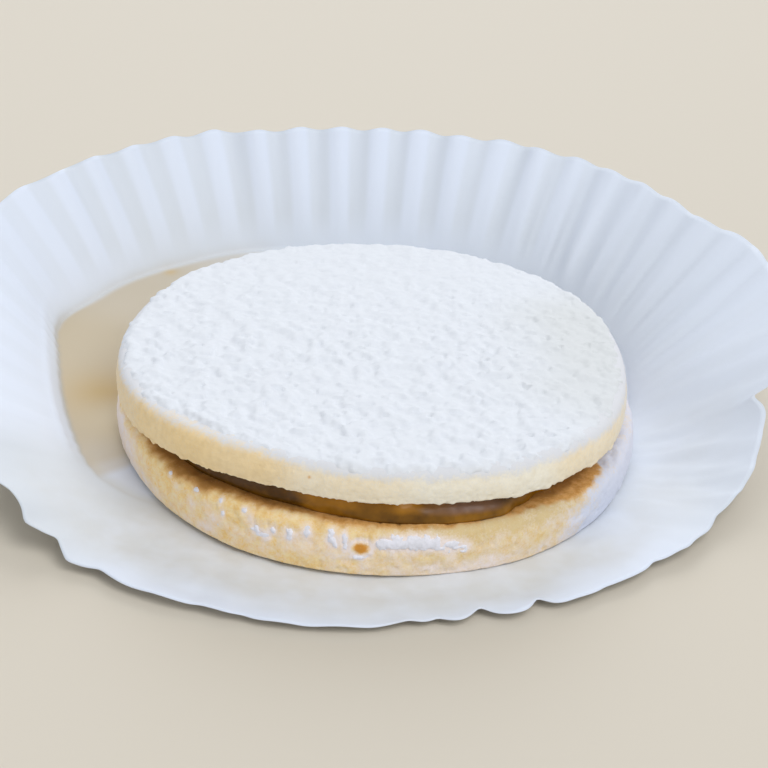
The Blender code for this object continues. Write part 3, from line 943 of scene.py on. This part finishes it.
def caramel():
    """Dark glossy brown, more orange where it is thin, darker with painted shade where it lies
    recessed, with one painted highlight, and greyish pink where a painted sheen stands for the
    front window's reflection."""
    mat, tree, shader = plain_material("caramel", 0.25)
    streaks = sum_up(tree, "MULTIPLY", speckle(tree, 1.8 * MM, 2.0), 0.5)
    thin = sum_up(tree, "ADD", mark_value(tree, "amber_shade_and_highlight"), streaks)
    # The cream end of the ramp is a painted highlight, the dark end partly painted shade.
    tone = ramp(tree, sum_up(tree, "SUBTRACT", thin, 0.25),
                [(0.0, CARAMEL_DARK), (0.55, CARAMEL_LIGHT), (0.85, CARAMEL_AMBER), (1.0, CARAMEL_HIGHLIGHT)])
    # The greyish pink tint is a painted sheen, standing for the front window's reflection.
    tree.links.new(tinted(tree, tone, [("painted_sheen", CARAMEL_SHEEN)]), shader.inputs["Base Color"])
    shader.inputs["Specular IOR Level"].default_value = 0.25
    return mat


filling_rings = make_filling()
filling = ring_body("dulce_de_leche_layer", filling_rings, filling_marks(filling_rings))
filling.data.materials.append(caramel())
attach(filling, "root")
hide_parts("filling")


# =============================================================================================
# Top biscuit. The same shortbread, tilted up at the front by the filling under it. Its side is
# smoother and creamier at the front and right, golden at the left, and its lower edge is ragged
# with crumbs where the cutter went through.
# =============================================================================================

TOP_THICKNESS = 4.2 * MM
TOP_UPPER_EDGE = 1.3 * MM
TOP_WAVES = [(2, 0.32 * MM, -2.9), (3, 0.33 * MM, 2.4), (4, 0.39 * MM, -2.9)]
TOP_CENTRE = COOKIE_CENTRE + TOP_OFFSET
SPECK = (257.5, 2.4)                # direction, and height above the lower face in millimetres
SPECK_RADIUS = 0.17 * MM

# How golden the side is; the height over its lower face where powder half covers it, in
# millimetres; and the least share that powder covers, by direction.
GOLDEN = [(0, 0.35), (90, 0.6), (180, 1.0), (225, 0.9), (246, 0.8), (258, 0.35), (290, 0.0), (306, 0.05),
          (318, 0.3), (330, 0.5)]
HALF_DUSTED = [(0, 3.1), (90, 3.0), (180, 3.2), (200, 3.5), (213, 3.8), (225, 4.1), (243, 4.0), (254, 3.5),
               (270, 3.3), (320, 3.3)]
LEAST_DUST = [(0, 0.5), (180, 0.3), (206, 0.25), (218, 0.08), (245, 0.04), (254, 0.12), (285, 0.15),
              (310, 0.1), (330, 0.2)]


def top_face(x, y):
    """Height of the top biscuit's upper face."""
    return top_underside(x, y) + TOP_THICKNESS


def height_above(rings):
    """Height of each point over the top biscuit's lower face."""
    return rings[..., 2] - top_underside(rings[..., 0], rings[..., 1])


def make_top():
    """Rings of the disc with a fine crumb, coarser along the lower edge, where crumbs hang."""
    rings = biscuit_rings(TOP_CENTRE, TOP_RADIUS, TOP_WAVES, (LOWER_EDGE, TOP_UPPER_EDGE),
                          top_underside, top_face)
    above = height_above(rings)
    ragged = smooth_step(above, 1.2 * MM, 0.2 * MM)
    relief = crumb_relief(rings, 0.9 * MM, 41) * (0.05 + 0.10 * ragged) * MM
    rings = rings + facing(rings) * relief[..., None]
    hanging = np.maximum(cloud(rings, 0.45 * MM, 44) + 0.6 * cloud(rings, 1.5 * MM, 45) - 0.15, 0.0)
    rings[..., 2] -= 0.32 * MM * hanging * smooth_step(above, 0.9 * MM, 0.1 * MM)
    return rings


def top_marks(rings):
    """A golden tint with soft clouds, powder that thickens upwards to a ragged line, and one
    dark speck."""
    turn = compass_of(rings, TOP_CENTRE)
    above = height_above(rings)
    golden = np.clip(around(GOLDEN, turn) + 0.15 * cloud(rings, 4.0 * MM, 42), 0.0, 1.0)
    half = around(HALF_DUSTED, turn) * MM
    dust = above + 0.25 * MM * cloud(rings, 1.2 * MM, 43) + 0.3 * MM * cloud(rings, 0.45 * MM, 46)
    powder = smooth_step(dust, half - 0.9 * MM, half + 0.7 * MM)
    powder = np.maximum(powder, around(LEAST_DUST, turn))
    away = np.hypot(np.radians(turn - SPECK[0]) * TOP_RADIUS, above - SPECK[1] * MM)
    return {"golden": golden, "powder": powder, "speck": bell(away, SPECK_RADIUS)}


DOUGH_CREAM = (0.94, 0.885, 0.74)
DOUGH_TAN = (0.94, 0.705, 0.365)
DOUGH_DULL = (0.93, 0.91, 0.87)     # what the duller spots of the dough are multiplied by
SIEVED_WHITE = (0.745, 0.75, 0.775)


def top_dough():
    """Cream to golden crumb with one brown speck, whitened by powder towards its upper edge."""
    mat, tree, shader = plain_material("top_dough", 0.85)
    dough = tinted(tree, DOUGH_CREAM, [("golden", DOUGH_TAN)])
    spots = ramp(tree, speckle(tree, 0.8 * MM, 4.0), [(0.3, DOUGH_DULL), (0.6, (1.0, 1.0, 1.0))])
    dough = blend_colours(tree, 1.0, dough, spots, "MULTIPLY")
    colour = tinted(tree, dusted(tree, dough, SIEVED_WHITE, "powder"), [("speck", DOUGH_STAIN)])
    paint(tree, shader, colour, 0.22 * MM, 0.04 * MM)
    return mat


top_rings = make_top()
top = ring_body("top_shortbread", top_rings, top_marks(top_rings))
top.data.materials.append(top_dough())
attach(top, "root")
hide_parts("top_biscuit")


# =============================================================================================
# Icing sugar on top. It is sieved on thickly, and lies as a matt crust of fine clumps and pits
# that thins out over the biscuit's rounded edge.
# =============================================================================================

COAT_STEPS = 300                    # points across the coat each way
COAT_THICKNESS = 0.26 * MM
COAT_LEAST = 0.06 * MM
COAT_MOST = 0.55 * MM
COAT_SUNK = 0.2 * MM                # depth below the biscuit's surface past the coat's edge
COAT_OVERHANG = 0.55 * MM           # how much further than the outline the coat's grid goes
COAT_BELLY = 1.5 * MM               # depth of the point that its underside's faces meet at
SUGAR_WHITE = (0.795, 0.82, 0.86)
SUGAR_SHADE = (0.765, 0.79, 0.835)

# How far inside the biscuit's outline the coat ends, by direction, in millimetres.
COAT_EDGE = [(1, 0.9), (22, 0.3), (60, 0.1), (171, 0.3), (190, 0.5), (204, 1.2), (216, 1.1),
             (229, 1.7), (241, 1.2), (252, 0.5), (320, 0.4), (332, 0.8), (345, 1.3)]
# How much greyer and less blue the coat is towards its outer edge, by direction: most at the right.
GREYER_RIGHT = [(0, 1.0), (25, 1.0), (50, 0.0), (315, 0.0), (343, 0.8)]


def round_grid(steps):
    """A square grid pulled out to a disc of radius 1, so that its cells stay nearly even: x is u
    times the root of 1 minus half v squared, and y the same the other way."""
    line = np.linspace(-1.0, 1.0, steps)
    u, v = np.meshgrid(line, line)
    return u * np.sqrt(1.0 - 0.5 * v * v), v * np.sqrt(1.0 - 0.5 * u * u)


def coat_skin(angle, path, radius):
    """Points of the top biscuit's surface without its crumb, at a path's length from its middle:
    level, then down the rounded edge by a quarter circle; and the way out from each."""
    start = radius - TOP_UPPER_EDGE
    bend = np.clip((path - start) / TOP_UPPER_EDGE, 0.0, 0.5 * np.pi)
    reach = np.where(path < start, path, start + TOP_UPPER_EDGE * np.sin(bend))
    x, y = out_from(TOP_CENTRE, reach, angle)
    skin = points_at(x, y, top_face(x, y) - TOP_UPPER_EDGE * (1.0 - np.cos(bend)))
    return skin, points_at(np.sin(bend) * np.cos(angle), np.sin(bend) * np.sin(angle), np.cos(bend))


def make_coat():
    """The coat follows the biscuit's top and rounded edge. Its thickness is even inside, has
    clumps and pits, coarser at the front, and falls below the biscuit's surface past its own
    ragged edge. A mark makes it greyer towards its outer edge at the right."""
    u, v = round_grid(COAT_STEPS)
    angle = np.arctan2(v, u)
    radius = TOP_RADIUS + uneven(angle, TOP_WAVES)
    path = np.clip(np.hypot(u, v), 1e-9, 1.0) * (radius + COAT_OVERHANG)
    skin, outward = coat_skin(angle, path, radius)
    clumps = (0.12 * cloud(skin, 2.6 * MM, 51) + 0.15 * cloud(skin, 1.1 * MM, 52)
              + 0.05 * cloud(skin, 0.55 * MM, 53))
    pits = 0.12 * smooth_step(cloud(skin, 0.8 * MM, 54), -0.35, -0.75)
    ends = radius - around(COAT_EDGE, np.degrees(angle)) * MM
    ends = ends + (0.5 * cloud(skin, 2.2 * MM, 55) + 0.45 * cloud(skin, 0.7 * MM, 56)) * MM
    fade = smooth_step(path, ends + 0.6 * MM, ends - 1.0 * MM)
    relief = (clumps - pits) * (0.85 + 1.5 * smooth_step(-skin[..., 1], -12.0 * MM, 15.0 * MM)) * MM
    thick = np.clip(COAT_THICKNESS + relief, COAT_LEAST, COAT_MOST) * fade - COAT_SUNK * (1.0 - fade)
    grains = 0.8 * cloud(skin, 0.8 * MM, 57) + 0.5 * cloud(skin, 0.4 * MM, 58)
    thick = thick + grains * MM * fade * (1.0 - fade)
    thin = smooth_step(path + 2.0 * MM * cloud(skin, 5.0 * MM, 59), 12.0 * MM, 25.0 * MM)
    return skin + outward * thick[..., None], {"thin": thin * around(GREYER_RIGHT, np.degrees(angle))}


def coat_body(name, grid, marks):
    """Closed body of a square grid, seen from above, with a fan of faces under it from its edge
    to a point below its middle. marks are named values for each point of the grid."""
    rows, columns = grid.shape[:2]
    number = np.arange(rows * columns).reshape(rows, columns)
    quads = np.stack([number[:-1, :-1], number[:-1, 1:], number[1:, 1:], number[1:, :-1]], axis=-1)
    edge = np.concatenate([number[0, :-1], number[:-1, -1], number[-1, :0:-1], number[:0:-1, 0]])
    under = np.full(len(edge), rows * columns)
    fan = np.stack([under, np.roll(edge, -1), edge], axis=-1)
    belly = grid[rows // 2, columns // 2] - np.array([0.0, 0.0, COAT_BELLY])
    marks = {mark: np.append(values, 0.0) for mark, values in marks.items()}
    return new_body(name, np.concatenate([grid.reshape(-1, 3), [belly]]),
                    quads.reshape(-1, 4).tolist() + fan.tolist(), marks)


coat = coat_body("icing_sugar_coat", *make_coat())
coat.data.materials.append(icing_sugar("sieved_sugar", SUGAR_SHADE, SUGAR_WHITE))
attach(coat, "root")


# =============================================================================================
# Table, light and camera. A plain pale table top, a wide window in front at the right, lower
# ones at the left and behind, and even daylight all round.
# =============================================================================================

TABLE_HALF = 2.0
TABLE_COLOUR = (0.66, 0.60, 0.50, 1.0)
DAYLIGHT = (0.93, 0.96, 1.0, 1.0)
DAYLIGHT_STRENGTH = 0.575
WINDOW_SPREAD = 40.0                # how wide each window looks, in degrees

# Windows: direction they lie in, angle above the table, strength and colour.
WINDOWS = {"front_window": (315.0, 55.0, 1.34, (0.97, 0.98, 1.0)),
           "left_window": (215.0, 8.0, 0.20, (1.0, 0.98, 0.95)),
           "back_window": (90.0, 25.0, 0.92, (0.97, 0.98, 1.0))}

corners = [(-TABLE_HALF, -TABLE_HALF, 0.0), (TABLE_HALF, -TABLE_HALF, 0.0),
           (TABLE_HALF, TABLE_HALF, 0.0), (-TABLE_HALF, TABLE_HALF, 0.0)]
table = new_body("table_top", corners, [(0, 1, 2, 3)], {})
table_mat, _, table_shader = plain_material("table_top", 0.6)
table_shader.inputs["Base Color"].default_value = TABLE_COLOUR
table.data.materials.append(table_mat)

world = bpy.data.worlds.new("daylight")
world.use_nodes = True
sky = world.node_tree.nodes["Background"]
sky.inputs["Color"].default_value = DAYLIGHT
sky.inputs["Strength"].default_value = DAYLIGHT_STRENGTH
bpy.context.scene.world = world
bpy.context.scene.view_settings.view_transform = "Standard"


def window_light(name, compass, height, strength, colour):
    """Broad soft light from far away, from a direction and an angle above the table."""
    light = bpy.data.lights.new(name, "SUN")
    light.angle = math.radians(WINDOW_SPREAD)
    light.energy = strength
    light.color = colour
    body = bpy.data.objects.new(name, light)
    turn = Matrix.Rotation(math.radians(compass + 90.0), 4, "Z")
    body.matrix_world = turn @ Matrix.Rotation(math.radians(90.0 - height), 4, "X")
    bpy.context.scene.collection.objects.link(body)


for window, light in WINDOWS.items():
    window_light(window, *light)

# The camera's place, its turn down, right and about its own line of sight in degrees, and lens.
CAMERA_PLACE = (2.5 * MM, -337.9 * MM, 195.7 * MM)
CAMERA_DOWN = 30.04
CAMERA_RIGHT = 0.057
CAMERA_ROLL = 2.9
CAMERA_LENS = 151.4
CAMERA_FILM = 36.0
CAMERA_NEAREST = 0.01

camera_data = bpy.data.cameras.new("camera")
camera_data.lens = CAMERA_LENS
camera_data.sensor_width = CAMERA_FILM
camera_data.clip_start = CAMERA_NEAREST
camera = bpy.data.objects.new("camera", camera_data)
aim = (Matrix.Rotation(-math.radians(CAMERA_RIGHT), 4, "Z")
       @ Matrix.Rotation(math.radians(90.0 - CAMERA_DOWN), 4, "X")
       @ Matrix.Rotation(math.radians(CAMERA_ROLL), 4, "Z"))
camera.matrix_world = Matrix.Translation(CAMERA_PLACE) @ aim
bpy.context.scene.collection.objects.link(camera)
bpy.context.scene.camera = camera
